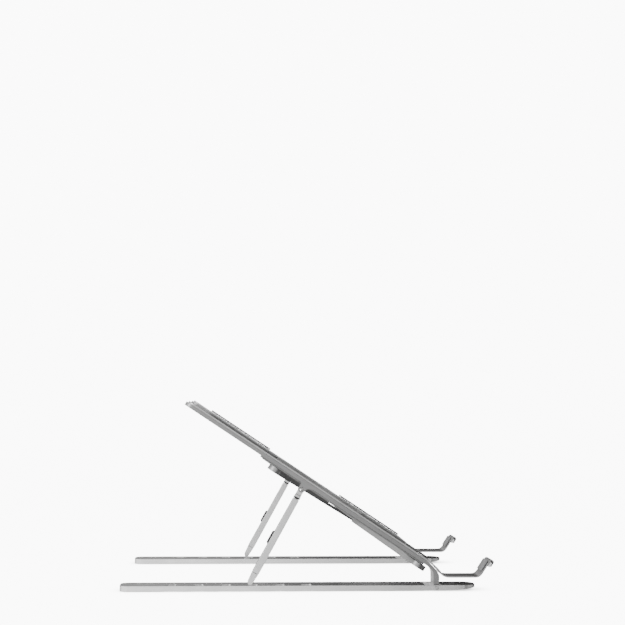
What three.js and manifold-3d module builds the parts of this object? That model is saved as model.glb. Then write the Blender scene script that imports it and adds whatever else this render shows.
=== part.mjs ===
// Folding laptop stand: two base bars, two tilted arms with hooked ends, two propping legs
// and a scissor brace that joins the left and right sides.
// Millimetres, +Z up, +X towards the user, the left side at -Y.
// The origin is on the table, at the centre of the stand's outline at rest.

import * as THREE from 'three';
import { mergeVertices } from 'three/addons/utils/BufferGeometryUtils.js';
import Module from 'manifold-3d';

const wasm = await Module();
wasm.setup();

// ---------------------------------------------------------------- driving dimensions

const GAP = 0.3; // running gap between neighbouring pieces
const SIDE_SPACING = 172; // between the centre planes of the left and right sides
const ARC_STEPS = 5; // straight steps in a rounded corner
const SMALL_ARC_STEPS = 3;
const OVERCUT = 1; // how far a cutting solid runs past the metal it cuts
const FAR = 80; // past the metal in front of, over and under the arms
const FLUSH = 0.1; // how far a rivet's end stays under the face around it
const ROUND_STEPS = 14; // sides of a pin, a rivet or a hole

const BASE = {
  rearX: -137.3, length: 261, width: 22, bottomZ: 0.3, topZ: 4.2, wall: 1.2,
  rearCorner: 6, frontCorner: 9, noseLength: 29, noseThickness: 1.9,
};
const HINGE = { x: 94.5, z: 2.3, pinRadius: 1.1, holeRadius: 1.4 };
const HINGE_WINDOW = { rear: 8.8, front: 3.4 }; // opening in the base's top, each way from the pin
const WASHER = { radius: 1.9, outerFace: 9.5, innerFace: 8.8 };

const SLOT = { count: 6, firstX: -100, pitch: 19.7, length: 8, centreU: 5.5, width: 8.6 };
const FOOT_PAD = { height: 2.7, halfWidth: 9.4, rear: [9, 31], front: [188, 216] };

const ARM = {
  tiltDeg: 33.3, // at rest
  rearX: -228.8, // from the hinge pin, along the arm
  underside: 9.4, // above the hinge pin, square to the arm
  height: 2.8, width: 17, wall: 1.1, rearCorner: 6,
  bendX: -14.5, // where the channel turns down to its lug
};
// Upright, from the pin.
const LUG = {
  rear: -2.2, front: 2.1, bendZ: 9.2, crownZ: 8.6, webEndZ: 2.6, tipRadius: 2, crownBack: 0.8, crownRise: 3.6,
};

const STRIP = { thickness: 1.1, width: 20, rearX: -227.3, lift: 3.05, rearCorner: 5, frontCorner: 3 };
// Upright, from the pin, to the strip's middle line: the S-bend over the lug and the level tray.
const S_BEND = { from: -17, lean: -12, overLug: [1.6, 13.4], drop: [4, 9.6], dipX: 5.6 };
const TRAY = { height: 7.7, start: 10.6, end: 29 };
const HOOK = { x: 22.35, riseFrom: 27.2, riseTo: 37.3, turn: 1.65, lipEnd: 34.4 }; // in the arm's axes
const PAD = { thickness: 1.2, width: 15, rearX: [-210, -150], frontX: [-78, -18], corner: 3 };
const HOOK_PAD = { thickness: 0.9, width: 16, from: 28.2, to: 37 };
const HOOK_LINER = { halfThickness: 0.8, width: 18.6, from: 33.6 };
const STRIP_RIVET = {
  shank: 1.2, collar: 2.2, collarHeight: 0.9,
  places: [['rear', -220, 3.5], ['middle', -104, -3], ['front', -24, 4.6]],
};

const LEG = {
  pivotX: -122.6, pivotDrop: 4, // from the pin along the arm, and below the arm's underside
  leanDeg: 28.9, topDepth: 4.5, footDepth: 5.1, wall: 0.9,
  innerU: 2, outerU: 9, tubeTop: 8.4, tubeEnd: 69.5, footLift: 0.45, tipRadius: 1.9,
};
const HEAD = { radius: 2.25, tongue: [3.75, 6.95], shoulder: 5.2 };
const TENON = { root: 1, length: 7 }; // inside its own piece, and into the leg's tube
const EAR = { radius: 2.6, frontFillet: 7, rearFillet: 1.2, inner: [2.25, 3.45], outer: [7.3, 8.5] };
const PIVOT_PIN = { radius: 1.1, holeRadius: 1.4, span: [2, 8.75] };
const BUMPER = { centre: 41.7, length: 11, thickness: 1, width: 5 };

const BRACE = {
  rivetU: -4.5, frontX: -18.4, rearX: -145.7, closedRearX: -219.3,
  width: 12, thickness: 3.9, drop: 1.5, lapHalf: 26,
};
const RAIL = { rearX: -160.8, frontX: -16, innerU: -8.4, outerU: 1.6, thickness: 0.9 };
const BRACE_RIVET = {
  shank: 1.9, hole: 2.2, head: 3.2, headHeight: 0.5, sink: 3.5, sinkDepth: 0.9,
  buttRadius: 2.9, buttHeight: 0.9,
};
const SHOE = { length: 9, width: 5.2, height: 1.3, collarRadius: 1.8, slotWidth: 4.2 };

const ALUMINIUM = { color: 0xc4c5c6, roughness: 0.34, metalness: 1 };
const STEEL = { color: 0x9b9c9e, roughness: 0.3, metalness: 1 };
const SILICONE = { color: 0x4b4c4e, roughness: 0.75, metalness: 0 };
const RUBBER = { color: 0x1c1c1d, roughness: 0.85, metalness: 0 };
const LINER = { color: 0xdededc, roughness: 0.6, metalness: 0 };
const NYLON = { color: 0xd8d8d6, roughness: 0.5, metalness: 0 };

// ---------------------------------------------------------------- solids

function toSolid(geometry) {
  const bare = geometry.clone();
  bare.deleteAttribute('normal');
  bare.deleteAttribute('uv');
  const merged = mergeVertices(bare, 1e-4);
  return new wasm.Manifold(new wasm.Mesh({
    numProp: 3,
    vertProperties: merged.attributes.position.array,
    triVerts: new Uint32Array(merged.index.array),
  }));
}

function toGeometry(solid) {
  const mesh = solid.getMesh();
  const geometry = new THREE.BufferGeometry();
  geometry.setAttribute('position', new THREE.Float32BufferAttribute(mesh.vertProperties, 3));
  geometry.setIndex(new THREE.Uint32BufferAttribute(mesh.triVerts, 1));
  geometry.computeVertexNormals();
  return geometry;
}

const add = (...solids) => solids.reduce((whole, solid) => whole.add(solid));
const cut = (solid, ...tools) => tools.reduce((left, tool) => left.subtract(tool), solid);

// A prism across the stand: outline in X and Z, from y0 to y1.
function acrossY(shape, y0, y1) {
  const low = Math.min(y0, y1);
  const high = Math.max(y0, y1);
  const settings = { depth: high - low, bevelEnabled: false, curveSegments: ARC_STEPS };
  const geometry = new THREE.ExtrudeGeometry(shape, settings);
  geometry.rotateX(Math.PI / 2);
  geometry.translate(0, high, 0);
  return toSolid(geometry);
}

// An upright prism: outline in X and Y, from z0 to z1.
function upZ(shape, z0, z1, steps = ARC_STEPS) {
  const settings = { depth: z1 - z0, bevelEnabled: false, curveSegments: steps };
  const geometry = new THREE.ExtrudeGeometry(shape, settings);
  geometry.translate(0, 0, z0);
  return toSolid(geometry);
}

function cylinderY(radius, x, z, y0, y1) {
  const geometry = new THREE.CylinderGeometry(radius, radius, Math.abs(y1 - y0), ROUND_STEPS);
  geometry.translate(x, (y0 + y1) / 2, z);
  return toSolid(geometry);
}

function cylinderZ(radius, x, y, z0, z1) {
  const geometry = new THREE.CylinderGeometry(radius, radius, z1 - z0, ROUND_STEPS);
  geometry.rotateX(Math.PI / 2);
  geometry.translate(x, y, (z0 + z1) / 2);
  return toSolid(geometry);
}

function block(x0, x1, y0, y1, z0, z1) {
  const geometry = new THREE.BoxGeometry(x1 - x0, Math.abs(y1 - y0), z1 - z0);
  geometry.translate((x0 + x1) / 2, (y0 + y1) / 2, (z0 + z1) / 2);
  return toSolid(geometry);
}

function polygon(points) {
  return new THREE.Shape(points.map(([x, y]) => new THREE.Vector2(x, y)));
}

// A rectangle whose two rear corners and two front corners have their own radii.
function roundedPlan(x0, x1, y0, y1, rear, front) {
  const low = Math.min(y0, y1);
  const high = Math.max(y0, y1);
  const shape = new THREE.Shape();
  shape.moveTo(x0 + rear, low);
  shape.lineTo(x1 - front, low);
  shape.absarc(x1 - front, low + front, front, -Math.PI / 2, 0, false);
  shape.absarc(x1 - front, high - front, front, 0, Math.PI / 2, false);
  shape.lineTo(x0 + rear, high);
  shape.absarc(x0 + rear, high - rear, rear, Math.PI / 2, Math.PI, false);
  shape.absarc(x0 + rear, low + rear, rear, Math.PI, 1.5 * Math.PI, false);
  return shape;
}

// A band of even thickness along an open line of points.
function band(points, thickness, offset = 0) {
  const left = [];
  const right = [];
  points.forEach((point, i) => {
    const before = points[Math.max(i - 1, 0)];
    const after = points[Math.min(i + 1, points.length - 1)];
    const along = after.clone().sub(before).normalize();
    const normal = new THREE.Vector2(-along.y, along.x);
    left.push(point.clone().addScaledVector(normal, offset + thickness / 2));
    right.push(point.clone().addScaledVector(normal, offset - thickness / 2));
  });
  return new THREE.Shape(left.concat(right.reverse()));
}

// ---------------------------------------------------------------- places

const tilt = THREE.MathUtils.degToRad(ARM.tiltDeg);
const lean = THREE.MathUtils.degToRad(LEG.leanDeg);
const armTop = ARM.underside + ARM.height;
const stripUnder = ARM.underside + STRIP.lift;
const stripTop = stripUnder + STRIP.thickness;
const legPivotZ = ARM.underside - LEG.pivotDrop;
const legPivotHeight = HINGE.z - LEG.pivotX * Math.sin(tilt) + legPivotZ * Math.cos(tilt);
// From the pivot to the centre of the foot's round end, which stands just over the base.
const legFootCentre = (legPivotHeight - BASE.topZ - LEG.footLift - LEG.tipRadius) / Math.cos(lean);

// u is the distance outwards from a side's own centre plane.
const sideY = (side, u) => side * (SIDE_SPACING / 2 + u);

// An upright point, given from the hinge pin, in the tilted arm's own axes.
function uprightInArm(dx, dz) {
  return new THREE.Vector2(
    dx * Math.cos(tilt) - dz * Math.sin(tilt),
    dx * Math.sin(tilt) + dz * Math.cos(tilt),
  );
}

const stand = new THREE.Group();

function place(parent, name, solid, finish) {
  const mesh = new THREE.Mesh(toGeometry(solid), new THREE.MeshStandardMaterial(finish));
  mesh.name = name;
  parent.add(mesh);
}

// ---------------------------------------------------------------- base

// Side outline: flat underneath as far as the hinge, then rising to a thin nose.
function baseOutline(inset) {
  const rear = BASE.rearX + inset;
  const front = BASE.rearX + BASE.length - inset;
  const low = inset > 0 ? BASE.bottomZ - OVERCUT : BASE.bottomZ;
  const top = BASE.topZ - inset;
  const noseStart = front - BASE.noseLength + inset;
  const shape = new THREE.Shape();
  shape.moveTo(rear, low);
  shape.lineTo(noseStart, low);
  if (inset === 0) {
    shape.quadraticCurveTo(noseStart + BASE.noseLength * 0.6, low, front, top - BASE.noseThickness);
    shape.lineTo(front, top);
  } else {
    shape.lineTo(noseStart, top);
  }
  shape.lineTo(rear, top);
  return shape;
}

function baseBar(side) {
  const half = BASE.width / 2;
  const outer = [sideY(side, -half), sideY(side, half)];
  const inner = [sideY(side, BASE.wall - half), sideY(side, half - BASE.wall)];
  const front = BASE.rearX + BASE.length;
  const plan = upZ(roundedPlan(BASE.rearX, front, ...outer, BASE.rearCorner, BASE.frontCorner), -1, 6);
  const cavityPlan = upZ(roundedPlan(
    BASE.rearX + BASE.wall, front - BASE.noseLength, ...inner, BASE.rearCorner - BASE.wall, 1,
  ), -2, 6);
  const body = acrossY(baseOutline(0), ...outer).intersect(plan);
  const cavity = acrossY(baseOutline(BASE.wall), ...inner).intersect(cavityPlan);
  const window = block(HINGE.x - HINGE_WINDOW.rear, HINGE.x + HINGE_WINDOW.front, ...inner, -1, 6);
  const slots = Array.from({ length: SLOT.count }, (_, i) => {
    const x = SLOT.firstX + i * SLOT.pitch;
    const y0 = sideY(side, SLOT.centreU - SLOT.width / 2);
    const y1 = sideY(side, SLOT.centreU + SLOT.width / 2);
    return upZ(roundedPlan(x - SLOT.length / 2, x + SLOT.length / 2, y0, y1, 1.5, 1.5), 2, 6, SMALL_ARC_STEPS);
  });
  const pinHole = cylinderY(
    HINGE.holeRadius, HINGE.x, HINGE.z, sideY(side, -half - OVERCUT), sideY(side, half + OVERCUT),
  );
  return cut(body, cavity, window, pinHole, ...slots);
}

function footPad(side, [from, to]) {
  const x0 = BASE.rearX + from;
  const x1 = BASE.rearX + to;
  const y0 = sideY(side, -FOOT_PAD.halfWidth);
  const y1 = sideY(side, FOOT_PAD.halfWidth);
  return upZ(roundedPlan(x0, x1, y0, y1, 4, 4), 0, FOOT_PAD.height);
}

function hingePin(side) {
  const reach = BASE.width / 2 - GAP;
  return cylinderY(HINGE.pinRadius, HINGE.x, HINGE.z, sideY(side, -reach), sideY(side, reach));
}

// end is 1 for the washer on the lug's outer face, -1 for the one on its inner face.
function hingeWasher(side, end) {
  const ring = cylinderY(
    WASHER.radius, HINGE.x, HINGE.z,
    sideY(side, end * WASHER.innerFace), sideY(side, end * WASHER.outerFace),
  );
  const bore = cylinderY(
    HINGE.holeRadius, HINGE.x, HINGE.z,
    sideY(side, end * (WASHER.innerFace - OVERCUT)), sideY(side, end * (WASHER.outerFace + OVERCUT)),
  );
  return ring.subtract(bore);
}

// ---------------------------------------------------------------- arm

// Side outline of the channel and its lug. inset is the web's thickness for the inside.
function channelOutline(inset) {
  const under = ARM.underside + inset;
  const top = inset > 0 ? armTop + 3 : armTop;
  const shape = new THREE.Shape();
  const rear = ARM.rearX + inset;
  const bendEnd = uprightInArm(LUG.rear + inset, LUG.bendZ);
  const corner = new THREE.Vector2((LUG.rear + inset - under * Math.sin(tilt)) / Math.cos(tilt), under);
  const webEnd = uprightInArm(LUG.rear + inset, inset > 0 ? -BASE.wall - BASE.topZ : LUG.webEndZ);
  shape.moveTo(rear, under);
  shape.lineTo(ARM.bendX, under);
  shape.quadraticCurveTo(corner.x, corner.y, bendEnd.x, bendEnd.y);
  shape.lineTo(webEnd.x, webEnd.y);
  if (inset > 0) {
    const low = uprightInArm(LUG.front + 4 * OVERCUT, -BASE.wall - BASE.topZ);
    const high = uprightInArm(LUG.front + 4 * OVERCUT, FAR / 4);
    shape.lineTo(low.x, low.y);
    shape.lineTo(high.x, high.y);
  } else {
    for (let i = 0; i <= ARC_STEPS; i += 1) {
      const turn = Math.PI * (1.25 + (0.75 * i) / ARC_STEPS);
      const tip = uprightInArm(LUG.tipRadius * Math.cos(turn), LUG.tipRadius * Math.sin(turn));
      shape.lineTo(tip.x, tip.y);
    }
    const shoulder = uprightInArm(LUG.front, LUG.crownZ);
    const crown = uprightInArm(LUG.front - LUG.crownBack, LUG.crownZ + LUG.crownRise);
    shape.lineTo(shoulder.x, shoulder.y);
    shape.quadraticCurveTo(crown.x, crown.y, ARM.bendX, top);
  }
  shape.lineTo(rear, top);
  return shape;
}

function armChannel(side) {
  const half = ARM.width / 2;
  const outer = [sideY(side, -half), sideY(side, half)];
  const inner = [sideY(side, ARM.wall - half), sideY(side, half - ARM.wall)];
  const plan = upZ(roundedPlan(ARM.rearX, FAR, ...outer, ARM.rearCorner, 1), -FAR, FAR);
  const cavityPlan = upZ(roundedPlan(
    ARM.rearX + ARM.wall, FAR, ...inner, ARM.rearCorner - ARM.wall, 1,
  ), -FAR, FAR);
  const body = acrossY(channelOutline(0), ...outer).intersect(plan);
  const cavity = acrossY(channelOutline(ARM.wall), ...inner).intersect(cavityPlan);
  const pinHole = cylinderY(HINGE.holeRadius, 0, 0, sideY(side, -half - OVERCUT), sideY(side, half + OVERCUT));
  const slideY = [
    sideY(side, BRACE.rivetU - SHOE.slotWidth / 2),
    sideY(side, BRACE.rivetU + SHOE.slotWidth / 2),
  ];
  const slide = upZ(roundedPlan(
    BRACE.closedRearX - SHOE.slotWidth / 2, BRACE.rearX + SHOE.slotWidth / 2, ...slideY, 2, 2,
  ), ARM.underside - OVERCUT, armTop);
  const braceHole = cylinderZ(
    BRACE_RIVET.hole, BRACE.frontX, sideY(side, BRACE.rivetU), ARM.underside - OVERCUT, armTop,
  );
  const rivetHoles = STRIP_RIVET.places.map(([, x, u]) => (
    cylinderZ(STRIP_RIVET.shank + GAP, x, sideY(side, u), ARM.underside - OVERCUT, armTop)
  ));
  return cut(add(body, ...legEars(side)), cavity, pinHole, slide, braceHole, ...rivetHoles, earBore(side));
}

function legEars(side) {
  const outline = new THREE.Shape();
  outline.moveTo(LEG.pivotX + EAR.radius + EAR.frontFillet, ARM.underside + 0.4);
  outline.quadraticCurveTo(
    LEG.pivotX + EAR.radius, ARM.underside - 0.6, LEG.pivotX + EAR.radius, legPivotZ,
  );
  outline.absarc(LEG.pivotX, legPivotZ, EAR.radius, 0, Math.PI, true);
  outline.quadraticCurveTo(
    LEG.pivotX - EAR.radius, ARM.underside, LEG.pivotX - EAR.radius - EAR.rearFillet, ARM.underside + 0.4,
  );
  return [EAR.inner, EAR.outer].map(([u0, u1]) => acrossY(outline, sideY(side, u0), sideY(side, u1)));
}

function earBore(side) {
  return cylinderY(
    PIVOT_PIN.holeRadius, LEG.pivotX, legPivotZ,
    sideY(side, EAR.inner[0] - OVERCUT), sideY(side, EAR.outer[1] + OVERCUT),
  );
}

// The strip's middle line: along the arm, stepping down over the lug to a level tray,
// then up square to the arm and over in a hook.
function stripLine() {
  const middle = stripUnder + STRIP.thickness / 2;
  const path = new THREE.Path();
  path.moveTo(STRIP.rearX, middle);
  path.lineTo(S_BEND.from, middle);
  const overLug = uprightInArm(...S_BEND.overLug);
  const drop = uprightInArm(...S_BEND.drop);
  path.bezierCurveTo(S_BEND.lean, middle, overLug.x, overLug.y, drop.x, drop.y);
  const dip = uprightInArm(S_BEND.dipX, TRAY.height);
  const trayStart = uprightInArm(TRAY.start, TRAY.height);
  path.quadraticCurveTo(dip.x, dip.y, trayStart.x, trayStart.y);
  const trayEnd = uprightInArm(TRAY.end, TRAY.height);
  path.lineTo(trayEnd.x, trayEnd.y);
  const heel = (TRAY.height + HOOK.x * Math.sin(tilt)) / Math.cos(tilt);
  path.quadraticCurveTo(HOOK.x, heel, HOOK.x, HOOK.riseFrom);
  path.lineTo(HOOK.x, HOOK.riseTo);
  path.absarc(HOOK.x + HOOK.turn, HOOK.riseTo, HOOK.turn, Math.PI, 0, true);
  path.lineTo(HOOK.x + 2 * HOOK.turn, HOOK.lipEnd);
  return path.getPoints(ARC_STEPS).filter((point, i, all) => i === 0 || point.distanceTo(all[i - 1]) > 0.05);
}

function hookStrip(side) {
  const half = STRIP.width / 2;
  const spanY = [sideY(side, -half), sideY(side, half)];
  const plan = upZ(roundedPlan(
    STRIP.rearX, HOOK.x + 2 * HOOK.turn + STRIP.thickness / 2, ...spanY, STRIP.rearCorner, STRIP.frontCorner,
  ), -FAR, FAR);
  const holes = STRIP_RIVET.places.map(([, x, u]) => (
    cylinderZ(STRIP_RIVET.shank + GAP, x, sideY(side, u), stripUnder - OVERCUT, stripTop + OVERCUT)
  ));
  return cut(acrossY(band(stripLine(), STRIP.thickness), ...spanY).intersect(plan), ...holes);
}

// Thin pad on the face of the hook that the laptop's edge meets.
function hookPad(side) {
  const face = HOOK.x - STRIP.thickness / 2 - GAP;
  const half = HOOK_PAD.width / 2;
  return block(
    face - HOOK_PAD.thickness, face, sideY(side, -half), sideY(side, half), HOOK_PAD.from, HOOK_PAD.to,
  );
}

// Liner that fills the hook's turned-over end.
function hookLiner(side) {
  const middle = HOOK.x + HOOK.turn;
  const half = HOOK_LINER.width / 2;
  return block(
    middle - HOOK_LINER.halfThickness, middle + HOOK_LINER.halfThickness,
    sideY(side, -half), sideY(side, half), HOOK_LINER.from, HOOK.riseTo,
  );
}

function armPad(side, [x0, x1]) {
  const y0 = sideY(side, -PAD.width / 2);
  const y1 = sideY(side, PAD.width / 2);
  const low = stripTop + GAP;
  return upZ(roundedPlan(x0, x1, y0, y1, PAD.corner, PAD.corner), low, low + PAD.thickness);
}

// Flush at both ends, with a collar inside the channel.
function stripRivet(side, x, u) {
  const low = ARM.underside + ARM.wall + GAP;
  return add(
    cylinderZ(STRIP_RIVET.shank, x, sideY(side, u), ARM.underside, stripTop - FLUSH),
    cylinderZ(STRIP_RIVET.collar, x, sideY(side, u), low, low + STRIP_RIVET.collarHeight),
  );
}

// ---------------------------------------------------------------- leg, hanging from its pivot

const depthAt = (drop) => LEG.topDepth + ((LEG.footDepth - LEG.topDepth) * drop) / LEG.tubeEnd;

function legSection(from, to, inset) {
  const top = depthAt(from) / 2 - inset;
  const low = depthAt(to) / 2 - inset;
  return polygon([[-top, -from], [-low, -to], [low, -to], [top, -from]]);
}

function legTube(side) {
  const wall = LEG.wall;
  const shell = acrossY(
    legSection(LEG.tubeTop, LEG.tubeEnd, 0), sideY(side, LEG.innerU), sideY(side, LEG.outerU),
  );
  const bore = acrossY(
    legSection(LEG.tubeTop - OVERCUT, LEG.tubeEnd + OVERCUT, wall),
    sideY(side, LEG.innerU + wall), sideY(side, LEG.outerU - wall),
  );
  return shell.subtract(bore);
}

function legTenon(side, from, to) {
  const inset = LEG.wall + GAP;
  return acrossY(
    legSection(from, to, inset), sideY(side, LEG.innerU + inset), sideY(side, LEG.outerU - inset),
  );
}

function legHead(side) {
  const radius = HEAD.radius;
  const outline = new THREE.Shape();
  const bottom = LEG.tubeTop - GAP;
  outline.moveTo(-radius, -bottom);
  outline.lineTo(radius, -bottom);
  outline.lineTo(radius, 0);
  outline.absarc(0, 0, radius, 0, Math.PI, false);
  const tongue = acrossY(outline, sideY(side, HEAD.tongue[0]), sideY(side, HEAD.tongue[1]));
  const shoulder = acrossY(
    polygon([[-radius, -bottom], [radius, -bottom], [radius, -HEAD.shoulder], [-radius, -HEAD.shoulder]]),
    sideY(side, LEG.innerU), sideY(side, LEG.outerU),
  );
  const bore = cylinderY(PIVOT_PIN.holeRadius, 0, 0, sideY(side, 0), sideY(side, 10));
  return add(tongue, shoulder, legTenon(side, bottom - TENON.root, bottom + TENON.length)).subtract(bore);
}

function legFoot(side) {
  const from = LEG.tubeEnd + GAP;
  const half = LEG.footDepth / 2 - 0.1;
  const outline = new THREE.Shape();
  outline.moveTo(-half, -from);
  outline.lineTo(-LEG.tipRadius, -legFootCentre);
  outline.absarc(0, -legFootCentre, LEG.tipRadius, Math.PI, 2 * Math.PI, false);
  outline.lineTo(half, -from);
  const tip = acrossY(outline, sideY(side, LEG.innerU + 0.2), sideY(side, LEG.outerU - 0.2));
  return add(tip, legTenon(side, from - TENON.length, from + TENON.root));
}

function legBumper(side) {
  const drop = BUMPER.centre;
  const face = -depthAt(drop) / 2 - GAP;
  const half = BUMPER.length / 2;
  const outline = polygon([
    [face, -drop + half], [face - BUMPER.thickness, -drop + half - 1.2],
    [face - BUMPER.thickness, -drop - half + 1.2], [face, -drop - half],
  ]);
  const middle = (LEG.innerU + LEG.outerU) / 2;
  return acrossY(outline, sideY(side, middle - BUMPER.width / 2), sideY(side, middle + BUMPER.width / 2));
}

function legPivotPin(side) {
  return cylinderY(
    PIVOT_PIN.radius, LEG.pivotX, legPivotZ, sideY(side, PIVOT_PIN.span[0]), sideY(side, PIVOT_PIN.span[1]),
  );
}

// ---------------------------------------------------------------- scissor brace, in the arms' axes

const braceTop = ARM.underside - BRACE.drop;
const braceLow = braceTop - BRACE.thickness;
const braceMiddle = (braceTop + braceLow) / 2;
const braceHalfSpan = SIDE_SPACING / 2 + BRACE.rivetU;
const braceLength = Math.hypot(BRACE.frontX - BRACE.rearX, 2 * braceHalfSpan);
const braceAngle = Math.atan2(2 * braceHalfSpan, BRACE.frontX - BRACE.rearX);

// A flat bar with round ends, halved in thickness where it crosses the other one.
// Its end rivets sink into its underside, the centre rivet into its outer face.
function braceBar(frontSide, keepsTop) {
  const half = braceLength / 2;
  const radius = BRACE.width / 2;
  const outline = roundedPlan(-half - radius, half + radius, -radius, radius, radius, radius);
  const bar = upZ(outline, braceLow, braceTop);
  const lapZ = keepsTop
    ? [braceLow - OVERCUT, braceMiddle + GAP / 2]
    : [braceMiddle - GAP / 2, braceTop + OVERCUT];
  const lap = block(-BRACE.lapHalf, BRACE.lapHalf, -radius - OVERCUT, radius + OVERCUT, ...lapZ);
  const holes = [-half, 0, half].map((x) => (
    cylinderZ(BRACE_RIVET.hole, x, 0, braceLow - OVERCUT, braceTop + OVERCUT)
  ));
  const sinks = [-half, half].map((x) => (
    cylinderZ(BRACE_RIVET.sink, x, 0, braceLow - OVERCUT, braceLow + BRACE_RIVET.sinkDepth)
  ));
  const centreSink = keepsTop
    ? cylinderZ(BRACE_RIVET.sink, 0, 0, braceTop - BRACE_RIVET.sinkDepth, braceTop + OVERCUT)
    : cylinderZ(BRACE_RIVET.sink, 0, 0, braceLow - OVERCUT, braceLow + BRACE_RIVET.sinkDepth);
  const turned = cut(bar, lap, centreSink, ...sinks, ...holes)
    .rotate([0, 0, frontSide * THREE.MathUtils.radToDeg(braceAngle)]);
  return turned.translate([(BRACE.frontX + BRACE.rearX) / 2, 0, 0]);
}

// A sunk head with its shank, low in a bar and reaching up to z1.
function sunkRivet(x, y, z1) {
  const low = braceLow + FLUSH;
  return add(
    cylinderZ(BRACE_RIVET.shank, x, y, low, z1),
    cylinderZ(BRACE_RIVET.head, x, y, low, low + BRACE_RIVET.headHeight),
  );
}

// Rivet through the bar's front end, the rail and the arm's web, headed over inside the channel.
function braceFrontRivet(side) {
  const y = sideY(side, BRACE.rivetU);
  const web = ARM.underside + ARM.wall + GAP;
  return sunkRivet(BRACE.frontX, y, web + BRACE_RIVET.buttHeight / 2)
    .add(cylinderZ(BRACE_RIVET.buttRadius, BRACE.frontX, y, web, web + BRACE_RIVET.buttHeight));
}

// Rivet in the bar's rear end; its shank stops under the slider.
function braceRearRivet(side) {
  return sunkRivet(BRACE.rearX, sideY(side, BRACE.rivetU), braceTop);
}

// Nylon shoe inside the arm's channel, with a collar down through the slide slot and the rail.
function braceSlider(side) {
  const y = sideY(side, BRACE.rivetU);
  const low = ARM.underside + ARM.wall + GAP;
  const shoe = upZ(roundedPlan(
    BRACE.rearX - SHOE.length / 2, BRACE.rearX + SHOE.length / 2,
    y - SHOE.width / 2, y + SHOE.width / 2, 1.5, 1.5,
  ), low, low + SHOE.height);
  return shoe.add(cylinderZ(SHOE.collarRadius, BRACE.rearX, y, braceTop + GAP, low + 0.5));
}

// Thin guide plate under the arm's inner half, open at its rear end for the slider's collar.
function braceRail(side) {
  const high = ARM.underside - GAP;
  const low = high - RAIL.thickness;
  const spanY = [sideY(side, RAIL.innerU), sideY(side, RAIL.outerU)];
  const slotY = [
    sideY(side, BRACE.rivetU - SHOE.slotWidth / 2), sideY(side, BRACE.rivetU + SHOE.slotWidth / 2),
  ];
  const plate = upZ(roundedPlan(RAIL.rearX, RAIL.frontX, ...spanY, 1.5, 2), low, high);
  const slot = upZ(roundedPlan(
    RAIL.rearX - 10, BRACE.rearX + SHOE.slotWidth / 2, ...slotY, 1, 2,
  ), low - OVERCUT, high + OVERCUT);
  const hole = cylinderZ(
    BRACE_RIVET.hole, BRACE.frontX, sideY(side, BRACE.rivetU), low - OVERCUT, high + OVERCUT,
  );
  return cut(plate, slot, hole);
}

// The centre rivet is in two halves that meet between the bars.
function centreRivet(upper) {
  const x = (BRACE.frontX + BRACE.rearX) / 2;
  if (!upper) return sunkRivet(x, 0, braceMiddle - GAP / 2);
  const high = braceTop - FLUSH;
  return add(
    cylinderZ(BRACE_RIVET.shank, x, 0, braceMiddle + GAP / 2, high),
    cylinderZ(BRACE_RIVET.head, x, 0, high - BRACE_RIVET.headHeight, high),
  );
}

// ---------------------------------------------------------------- assembly

const arms = new THREE.Group();
arms.position.set(HINGE.x, 0, HINGE.z);
arms.rotation.y = tilt;
stand.add(arms);

const legs = new THREE.Group();
legs.position.set(LEG.pivotX, 0, legPivotZ);
legs.rotation.y = lean - tilt;
arms.add(legs);

for (const [label, side] of [['left', -1], ['right', 1]]) {
  place(stand, `${label}_base_bar`, baseBar(side), ALUMINIUM);
  place(stand, `${label}_base_rear_foot`, footPad(side, FOOT_PAD.rear), RUBBER);
  place(stand, `${label}_base_front_foot`, footPad(side, FOOT_PAD.front), RUBBER);
  place(stand, `${label}_hinge_pin`, hingePin(side), STEEL);
  place(stand, `${label}_hinge_outer_washer`, hingeWasher(side, 1), NYLON);
  place(stand, `${label}_hinge_inner_washer`, hingeWasher(side, -1), NYLON);

  place(arms, `${label}_arm_channel`, armChannel(side), ALUMINIUM);
  place(arms, `${label}_hook_strip`, hookStrip(side), ALUMINIUM);
  place(arms, `${label}_arm_rear_pad`, armPad(side, PAD.rearX), SILICONE);
  place(arms, `${label}_arm_front_pad`, armPad(side, PAD.frontX), SILICONE);
  place(arms, `${label}_hook_pad`, hookPad(side), SILICONE);
  place(arms, `${label}_hook_liner`, hookLiner(side), LINER);
  for (const [where, x, u] of STRIP_RIVET.places) {
    place(arms, `${label}_${where}_strip_rivet`, stripRivet(side, x, u), STEEL);
  }
  place(arms, `${label}_leg_pivot_pin`, legPivotPin(side), STEEL);
  place(arms, `${label}_brace_front_rivet`, braceFrontRivet(side), STEEL);
  place(arms, `${label}_brace_rear_rivet`, braceRearRivet(side), STEEL);
  place(arms, `${label}_brace_slider`, braceSlider(side), NYLON);
  place(arms, `${label}_brace_rail`, braceRail(side), STEEL);

  place(legs, `${label}_leg_tube`, legTube(side), ALUMINIUM);
  place(legs, `${label}_leg_head`, legHead(side), ALUMINIUM);
  place(legs, `${label}_leg_foot`, legFoot(side), ALUMINIUM);
  place(legs, `${label}_leg_bumper`, legBumper(side), RUBBER);
}

place(arms, 'brace_bar_upper', braceBar(-1, true), ALUMINIUM);
place(arms, 'brace_bar_lower', braceBar(1, false), ALUMINIUM);
place(arms, 'brace_centre_rivet_upper', centreRivet(true), STEEL);
place(arms, 'brace_centre_rivet_lower', centreRivet(false), STEEL);

export default stand;
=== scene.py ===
"""Folding laptop stand: finishes, edges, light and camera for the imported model."""

import math

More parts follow.
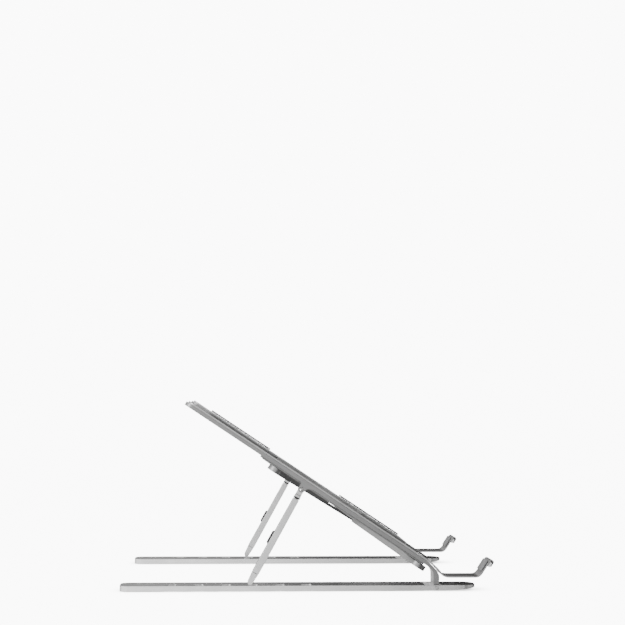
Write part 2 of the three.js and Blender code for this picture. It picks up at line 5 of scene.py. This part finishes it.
import bmesh
import bpy
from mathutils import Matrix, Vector


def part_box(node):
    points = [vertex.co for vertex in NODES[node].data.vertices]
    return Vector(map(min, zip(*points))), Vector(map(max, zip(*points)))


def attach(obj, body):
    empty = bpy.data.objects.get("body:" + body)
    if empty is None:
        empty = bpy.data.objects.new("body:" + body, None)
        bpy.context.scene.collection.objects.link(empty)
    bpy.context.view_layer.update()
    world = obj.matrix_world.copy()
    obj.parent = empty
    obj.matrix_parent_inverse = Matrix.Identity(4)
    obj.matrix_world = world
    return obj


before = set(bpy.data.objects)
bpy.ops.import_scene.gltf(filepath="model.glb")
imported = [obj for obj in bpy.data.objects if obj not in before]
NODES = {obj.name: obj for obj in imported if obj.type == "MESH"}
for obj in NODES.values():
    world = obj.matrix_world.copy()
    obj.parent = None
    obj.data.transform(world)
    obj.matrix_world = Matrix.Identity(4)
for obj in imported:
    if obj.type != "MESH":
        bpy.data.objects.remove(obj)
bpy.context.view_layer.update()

MM = 0.001
TILT = math.radians(33.3)  # the arms' slope at rest
LEG_LEAN = math.radians(28.9)  # the legs, from upright, foot towards the rear
LEG_GRAIN = math.radians(61)  # along the legs, from level

# Modifiers that round the edges, in millimetres and degrees.
WELD_DISTANCE = 0.004
FLAT_ANGLE = 1
SHARP_ANGLE = 38
PLAIN_EDGE = 0.18
EDGE_WIDTHS = {
    "arm_channel": 0.35, "base_bar": 0.45, "hook_strip": 0.3, "brace_bar_upper": 0.4, "brace_bar_lower": 0.4,
}

# Ring at the joint between a leg's tube and its head.
SEAM_DROP = 7.4 * MM  # from the pivot, down the leg
SEAM_DEPTH = 4.55 * MM  # the leg's own depth there
SEAM_CORNER = 0.5 * MM
# Along the leg and outwards from its skin: a low bead whose root is sunk in the metal.
SEAM_BEAD = [(-0.65, -0.25), (-0.65, 0.03), (-0.4, 0.12), (0.4, 0.12), (0.65, 0.03), (0.65, -0.25)]

# Studio, in metres.
FLOOR_REACH = 6.0
STAGE_HALF_WIDTH = 8.0
WALL_START = 1.0
WALL_RADIUS = 0.8
WALL_HEIGHT = 6.0
WALL_STEPS = 16
WALL_STEP_TURN = math.radians(6)
# The floor's glow and its painted contact shadow: ambient occlusion dims the glow within a reach of the
# stand.
FLOOR_GLOW_AND_PAINTED_SHADOW = (0.7, 9.0)  # close under something, and in the open
PAINTED_SHADOW_REACH = 14 * MM

CAMERA_PLACE = (-0.0609, -1.1399, 0.1416)
CAMERA_TURN = (93.412, -0.246, -3.474)  # degrees
CAMERA_LENS = 81.71

# ---------------------------------------------------------------- node helpers


class Graph:
    """A material's nodes, with short calls for the ones used here."""

    def __init__(self, name):
        self.material = bpy.data.materials.new(name)
        self.material.use_nodes = True
        self.nodes = self.material.node_tree.nodes
        self.links = self.material.node_tree.links
        self.shader = self.nodes["Principled BSDF"]

    def add(self, kind, inputs=None, **settings):
        node = self.nodes.new(kind)
        for key, value in settings.items():
            setattr(node, key, value)
        for key, value in (inputs or {}).items():
            self.put(value, node.inputs[key])
        return node

    def put(self, value, socket):
        """Links an output to the socket, or sets the socket's own value."""
        if isinstance(value, bpy.types.NodeSocket):
            self.links.new(value, socket)
        else:
            socket.default_value = value

    def place(self, scale, turn=0.0):
        """Coordinates fixed to the piece, turned about Y so that X runs along it, then scaled."""
        source = self.add("ShaderNodeTexCoord")
        inputs = {"Vector": source.outputs["Object"], "Rotation": (0, -turn, 0)}
        turned = self.add("ShaderNodeMapping", inputs)
        sized = self.add("ShaderNodeMapping", {"Vector": turned.outputs["Vector"], "Scale": scale})
        return sized.outputs["Vector"]

    def noise(self, vector, scale=1.0, detail=3.0, roughness=0.55):
        inputs = {"Vector": vector, "Scale": scale, "Detail": detail, "Roughness": roughness}
        return self.add("ShaderNodeTexNoise", inputs).outputs["Fac"]

    def span(self, value, low, high, start=0.3, end=0.7):
        """Maps start..end, the middle of a noise by default, to low..high."""
        inputs = {"Value": value, "From Min": start, "From Max": end, "To Min": low, "To Max": high}
        return self.add("ShaderNodeMapRange", inputs).outputs["Result"]

    def mix(self, factor, a, b):
        node = self.add("ShaderNodeMix", data_type="RGBA")
        self.put(factor, node.inputs[0])
        self.put(a, node.inputs[6])
        self.put(b, node.inputs[7])
        return node.outputs[2]

    def combine(self, a, b, operation="ADD"):
        """Two values put together and held between 0 and 1."""
        node = self.add("ShaderNodeMath", operation=operation, use_clamp=True)
        self.put(a, node.inputs[0])
        self.put(b, node.inputs[1])
        return node.outputs[0]

    def edges(self, radius, strength):
        """1 on outer edges, 0 on flat faces."""
        bevel = self.add("ShaderNodeBevel", {"Radius": radius}, samples=6)
        face = self.add("ShaderNodeNewGeometry")
        dot = self.add("ShaderNodeVectorMath", operation="DOT_PRODUCT")
        self.links.new(bevel.outputs["Normal"], dot.inputs[0])
        self.links.new(face.outputs["Normal"], dot.inputs[1])
        return self.span(dot.outputs["Value"], strength, 0.0, 0.75, 0.995)

    def bump(self, height, distance, strength, normal=None):
        inputs = {"Height": height, "Distance": distance, "Strength": strength}
        if normal is not None:
            inputs["Normal"] = normal
        return self.add("ShaderNodeBump", inputs).outputs["Normal"]

    def finish(self, **values):
        for key, value in values.items():
            self.put(value, self.shader.inputs[key.replace("_", " ")])
        return self.material


# ---------------------------------------------------------------- finishes


def grey(value, warmth=0.0):
    return (value * (1 + warmth), value, value * (1 - warmth), 1.0)


def anodised(name, tone, turn, roughness, relief=1.0):
    """Bead-blasted, clear-anodised aluminium with a faint rolling grain and polished edges.

    turn is the piece's slope, which the grain follows; relief scales its bumps; tone is the base grey, set
    lower on some pieces as painted shade.
    """
    g = Graph(name)
    blast = g.noise(g.place((1, 1, 1)), scale=2600, detail=2)
    grain = g.noise(g.place((35, 1500, 1500), turn), detail=4)
    cloud = g.noise(g.place((1, 1, 1)), scale=22, detail=3)
    smudge = g.noise(g.place((1, 1, 1)), scale=70, detail=5, roughness=0.7)
    edge = g.edges(0.5 * MM, 0.8)
    clear = g.mix(g.span(cloud, 0.0, 1.0), grey(tone * 0.94, -0.004), grey(tone * 1.04, 0.004))
    grained = g.mix(g.span(grain, 0.0, 0.35), clear, grey(tone * 0.82))
    colour = g.mix(edge, grained, grey(min(tone * 1.22, 0.95)))
    dull = g.combine(g.span(smudge, roughness - 0.05, roughness + 0.07), g.span(grain, -0.03, 0.03))
    normal = g.bump(blast, 0.02 * MM, 0.35 * relief)
    normal = g.bump(grain, 0.015 * MM, 0.25 * relief, normal)
    worn = g.combine(edge, 0.12, "MULTIPLY")
    return g.finish(
        Base_Color=colour, Metallic=0.92, Roughness=g.combine(dull, worn, "SUBTRACT"),
        Normal=normal, Specular_IOR_Level=0.5,
    )


def turned_steel(name, tone):
    """Steel pins and rivets with fine turning marks and a slight stain."""
    g = Graph(name)
    marks = g.noise(g.place((900, 900, 900)), detail=3)
    stain = g.noise(g.place((1, 1, 1)), scale=260, detail=4)
    edge = g.edges(0.3 * MM, 0.7)
    worn = g.mix(g.span(stain, 0.0, 1.0), grey(tone * 0.88), grey(tone * 1.12, 0.01))
    colour = g.mix(edge, worn, grey(tone * 1.5))
    return g.finish(
        Base_Color=colour, Metallic=1.0, Roughness=g.span(marks, 0.24, 0.4),
        Normal=g.bump(marks, 0.02 * MM, 0.3), Specular_IOR_Level=0.5,
    )


def elastomer(name, tone, roughness, sheen):
    """Moulded silicone or rubber: fine skin texture, dusty highlights and lighter edges."""
    g = Graph(name)
    skin = g.noise(g.place((1, 1, 1)), scale=1900, detail=4, roughness=0.65)
    dust = g.noise(g.place((1, 1, 1)), scale=110, detail=5, roughness=0.7)
    edge = g.edges(0.35 * MM, 0.5)
    base = g.mix(g.span(dust, 0.0, 0.6), grey(tone, -0.01), grey(tone * 1.55 + 0.01))
    colour = g.mix(edge, base, grey(tone * 1.9 + 0.01))
    return g.finish(
        Base_Color=colour, Metallic=0.0, Roughness=g.span(dust, roughness - 0.07, roughness + 0.08),
        Normal=g.bump(skin, 0.06 * MM, 0.45), Specular_IOR_Level=0.4,
        Sheen_Weight=sheen, Sheen_Roughness=0.5,
    )


def nylon(name):
    """Moulded nylon, slightly translucent, with faint flow lines."""
    g = Graph(name)
    flow = g.noise(g.place((120, 900, 900)), detail=3)
    fine = g.noise(g.place((1, 1, 1)), scale=2200, detail=2)
    colour = g.mix(g.span(flow, 0.0, 1.0), grey(0.5, 0.01), grey(0.62, 0.015))
    return g.finish(
        Base_Color=colour, Roughness=g.span(flow, 0.42, 0.56), Normal=g.bump(fine, 0.03 * MM, 0.3),
        Subsurface_Weight=0.08, Subsurface_Scale=0.0008, Specular_IOR_Level=0.45,
    )


# One aluminium for all metal pieces, with painted shade in the tones: the arms and braces (0.25), hook
# strips (0.4) and legs (0.62) are painted darker than the flat bars (0.7).
FLAT_METAL = anodised("anodised_flat", tone=0.7, turn=0.0, roughness=0.23, relief=0.3)
SLOPED_METAL_PAINTED_SHADE = anodised("anodised_sloped_painted_shade", tone=0.25, turn=TILT, roughness=0.3)
STRIP_METAL_PAINTED_SHADE = anodised("anodised_strip_painted_shade", tone=0.4, turn=TILT, roughness=0.32)
LEG_METAL_PAINTED_SHADE = anodised("anodised_leg_painted_shade", tone=0.62, turn=LEG_GRAIN, roughness=0.26)
STEEL = turned_steel("turned_steel", tone=0.5)
PIVOT_STEEL = turned_steel("pivot_steel", tone=0.3)
SILICONE = elastomer("grey_silicone", tone=0.1, roughness=0.62, sheen=0.15)
HOOK_SILICONE = elastomer("hook_silicone", tone=0.13, roughness=0.55, sheen=0.1)
RUBBER = elastomer("black_rubber", tone=0.018, roughness=0.7, sheen=0.05)
NYLON = nylon("white_nylon")
LINER = elastomer("hook_liner", tone=0.7, roughness=0.5, sheen=0.1)
DARK_RAIL = anodised("anodised_dark", tone=0.2, turn=TILT, roughness=0.42)

FINISHES = {
    "base_bar": FLAT_METAL, "arm_channel": SLOPED_METAL_PAINTED_SHADE, "hook_strip": STRIP_METAL_PAINTED_SHADE,
    "leg_tube": LEG_METAL_PAINTED_SHADE, "leg_head": LEG_METAL_PAINTED_SHADE, "leg_foot": LEG_METAL_PAINTED_SHADE,
    "brace_bar_upper": SLOPED_METAL_PAINTED_SHADE, "brace_bar_lower": SLOPED_METAL_PAINTED_SHADE,
    "arm_rear_pad": SILICONE, "arm_front_pad": SILICONE, "hook_pad": HOOK_SILICONE,
    "base_rear_foot": RUBBER, "base_front_foot": RUBBER, "leg_bumper": RUBBER,
    "hook_liner": LINER, "brace_rail": DARK_RAIL, "leg_pivot_pin": PIVOT_STEEL,
    "hinge_outer_washer": NYLON, "hinge_inner_washer": NYLON, "brace_slider": NYLON,
}


def plain_name(node):
    """A node's name without its side."""
    for side in ("left_", "right_"):
        if node.startswith(side):
            return node[len(side):]
    return node


def soften(obj, width):
    """Rounds the edges by modifiers and shades the round stretches smoothly."""
    obj.data.shade_smooth()
    weld = obj.modifiers.new("weld", "WELD")
    weld.merge_threshold = WELD_DISTANCE * MM
    flat = obj.modifiers.new("flat", "DECIMATE")
    flat.decimate_type = "DISSOLVE"
    flat.angle_limit = math.radians(FLAT_ANGLE)
    bevel = obj.modifiers.new("edge", "BEVEL")
    bevel.width = width * MM
    bevel.segments = 3
    bevel.limit_method = "ANGLE"
    bevel.angle_limit = math.radians(SHARP_ANGLE)
    bevel.harden_normals = True
    obj.modifiers.new("normals", "WEIGHTED_NORMAL").keep_sharp = False


def dress_frame():
    """Gives every CAD node its finish and its edges."""
    for name, node in NODES.items():
        kind = plain_name(name)
        node.data.materials.clear()
        node.data.materials.append(FINISHES.get(kind, STEEL))
        soften(node, EDGE_WIDTHS.get(kind, PLAIN_EDGE))


dress_frame()

# ---------------------------------------------------------------- seam rings under the leg heads


def rounded_rectangle(half_x, half_y, radius, steps=5):
    """Points around a rectangle with round corners, each with its outward direction."""
    path = []
    for corner, (sign_x, sign_y) in enumerate(((1, 1), (-1, 1), (-1, -1), (1, -1))):
        for step in range(steps):
            turn = math.pi / 2 * (corner + step / (steps - 1))
            way = (math.cos(turn), math.sin(turn))
            x = sign_x * (half_x - radius) + radius * way[0]
            y = sign_y * (half_y - radius) + radius * way[1]
            path.append(((x, y), way))
    return path


def seam_ring(side):
    """A rubber ring that closes the joint between a leg's tube and its head."""
    pivot = sum((Vector(corner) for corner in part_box(f"{side}_leg_pivot_pin")), Vector()) / 2
    low, high = (Vector(corner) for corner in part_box(f"{side}_leg_tube"))
    down = Vector((-math.sin(LEG_LEAN), 0, -math.cos(LEG_LEAN)))
    forward = Vector((math.cos(LEG_LEAN), 0, -math.sin(LEG_LEAN)))
    across = Vector((0, 1, 0))
    centre = Vector((pivot.x, (low.y + high.y) / 2, pivot.z)) + down * SEAM_DROP
    form = bmesh.new()
    loops = []
    for (x, y), (out_x, out_y) in rounded_rectangle(SEAM_DEPTH / 2, (high.y - low.y) / 2, SEAM_CORNER):
        spot = centre + forward * x + across * y
        out = forward * out_x + across * out_y
        loops.append([
            form.verts.new(spot + down * along * MM + out * proud * MM) for along, proud in SEAM_BEAD
        ])
    for here, following in zip(loops, loops[1:] + loops[:1]):
        for i in range(len(SEAM_BEAD)):
            j = (i + 1) % len(SEAM_BEAD)
            form.faces.new((here[i], here[j], following[j], following[i]))
    bmesh.ops.recalc_face_normals(form, faces=form.faces)
    name = f"{side}_leg_seam_ring"
    mesh = bpy.data.meshes.new(name)
    form.to_mesh(mesh)
    form.free()
    mesh.shade_smooth()
    mesh.materials.append(RUBBER)
    ring = bpy.data.objects.new(name, mesh)
    bpy.context.scene.collection.objects.link(ring)
    ring.modifiers.new("normals", "WEIGHTED_NORMAL").keep_sharp = False
    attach(ring, f"{side}_leg")


for side in ("left", "right"):
    seam_ring(side)

# ---------------------------------------------------------------- stage, light and camera


def stage_material():
    """Bright glowing paper with a painted contact shadow: its glow is darker where something stands close
    over it.
    """
    g = Graph("backdrop_with_painted_shadow")
    cloud = g.noise(g.place((1, 1, 1)), scale=3)
    # Ambient occlusion darkens the glow under the stand as a painted shadow.
    painted_shadow_occlusion = g.add("ShaderNodeAmbientOcclusion", {"Distance": PAINTED_SHADOW_REACH}, samples=8)
    glow_with_painted_shadow = g.span(painted_shadow_occlusion.outputs["AO"], *FLOOR_GLOW_AND_PAINTED_SHADOW, 0.0, 1.0)
    return g.finish(
        Base_Color=g.mix(g.span(cloud, 0.0, 1.0), grey(0.9), grey(0.93)), Roughness=0.9,
        Emission_Color=(1, 1, 1, 1), Emission_Strength=glow_with_painted_shadow, Specular_IOR_Level=0.0,
    )


def sweep(name, profile, half_width, material):
    """A sheet across the scene that follows a profile of (y, z) points."""
    mesh = bpy.data.meshes.new(name)
    form = bmesh.new()
    rows = [[form.verts.new((x, y, z)) for x in (-half_width, half_width)] for y, z in profile]
    for (a, b), (c, d) in zip(rows, rows[1:]):
        form.faces.new((a, b, d, c))
    form.to_mesh(mesh)
    form.free()
    mesh.shade_smooth()
    mesh.materials.append(material)
    sheet = bpy.data.objects.new(name, mesh)
    bpy.context.scene.collection.objects.link(sheet)
    return sheet


def build_stage():
    """A pale floor that runs up into a wall.

    The metal doesn't mirror them: it mirrors the studio's dark and light sides instead.
    """
    material = stage_material()
    arc = [
        (WALL_START + WALL_RADIUS * math.sin(turn), WALL_RADIUS - WALL_RADIUS * math.cos(turn))
        for turn in (WALL_STEP_TURN * step for step in range(WALL_STEPS))
    ]
    for sheet in (
        sweep("floor", [(-FLOOR_REACH, 0.0), (WALL_START, 0.0)], STAGE_HALF_WIDTH, material),
        sweep("wall", [*arc, (WALL_START + WALL_RADIUS, WALL_HEIGHT)], STAGE_HALF_WIDTH, material),
    ):
        sheet.visible_glossy = False
        sheet.visible_diffuse = False
        sheet.visible_shadow = False


def area_light(name, place, target, size, power):
    """A square softbox at place, turned to target."""
    data = bpy.data.lights.new(name, "AREA")
    data.size = size
    data.energy = power
    lamp = bpy.data.objects.new(name, data)
    lamp.location = place
    lamp.rotation_euler = (Vector(target) - Vector(place)).to_track_quat("-Z", "Y").to_euler()
    bpy.context.scene.collection.objects.link(lamp)


def studio_world():
    """Surroundings that are bright behind the stand's rear end and dark in front of its hooks."""
    world = bpy.data.worlds.new("studio")
    world.use_nodes = True
    nodes, links = world.node_tree.nodes, world.node_tree.links
    way = nodes.new("ShaderNodeTexCoord").outputs["Generated"]
    parts = nodes.new("ShaderNodeSeparateXYZ")
    links.new(way, parts.inputs[0])
    x, y, z = (parts.outputs[axis] for axis in "XYZ")

    def ramp(value, start, end, low, high):
        """Goes smoothly from low, where value is start, to high, where it is end."""
        node = nodes.new("ShaderNodeMapRange")
        node.interpolation_type = "SMOOTHSTEP"
        links.new(value, node.inputs["Value"])
        for key, number in (("From Min", start), ("From Max", end), ("To Min", low), ("To Max", high)):
            node.inputs[key].default_value = number
        return node.outputs["Result"]

    def math_node(operation, *values):
        node = nodes.new("ShaderNodeMath")
        node.operation = operation
        for value, socket in zip(values, node.inputs):
            if isinstance(value, bpy.types.NodeSocket):
                links.new(value, socket)
            else:
                socket.default_value = value
        return node.outputs[0]

    # Bright on the left, dark past the middle, with some light again on the far right.
    leant = math_node("MULTIPLY_ADD", z, 0.25, x)
    across = ramp(leant, -0.02, 0.14, 2.3, 0.2)
    upper = ramp(z, -0.3, 0.1, 0.15, 1.0)
    far_right = math_node("MULTIPLY", ramp(x, 0.35, 0.85, 0.0, 0.6), upper)
    sides = math_node("ADD", across, far_right)
    # A dark band beyond the stand, from the horizon up, which the flat tops mirror.
    behind = ramp(y, -0.1, 0.4, 0.0, 1.0)
    low = math_node("MULTIPLY", ramp(z, -0.1, 0.02, 0.5, 1.0), ramp(z, 0.25, 0.6, 1.0, 0.0))
    shade = ramp(math_node("MULTIPLY", behind, low), 0.0, 1.0, 1.0, 0.16)
    links.new(math_node("MULTIPLY", sides, shade), nodes["Background"].inputs["Strength"])
    nodes["Background"].inputs["Color"].default_value = (1.0, 1.0, 1.0, 1.0)
    bpy.context.scene.world = world


def build_light():
    """A key light from the left rear, a weak one overhead, and the surroundings."""
    middle = (0, 0, 0.06)
    area_light("key", place=(-1.3, -1.0, 0.8), target=middle, size=1.0, power=14)
    area_light("top", place=(-0.2, 0.1, 1.7), target=middle, size=1.4, power=4)
    studio_world()


def build_camera():
    data = bpy.data.cameras.new("camera")
    data.sensor_width = 36
    data.lens = CAMERA_LENS
    data.clip_start, data.clip_end = 0.05, 40
    camera = bpy.data.objects.new("camera", data)
    camera.location = CAMERA_PLACE
    camera.rotation_euler = [math.radians(angle) for angle in CAMERA_TURN]
    bpy.context.scene.collection.objects.link(camera)
    bpy.context.scene.camera = camera


build_stage()
build_light()
build_camera()
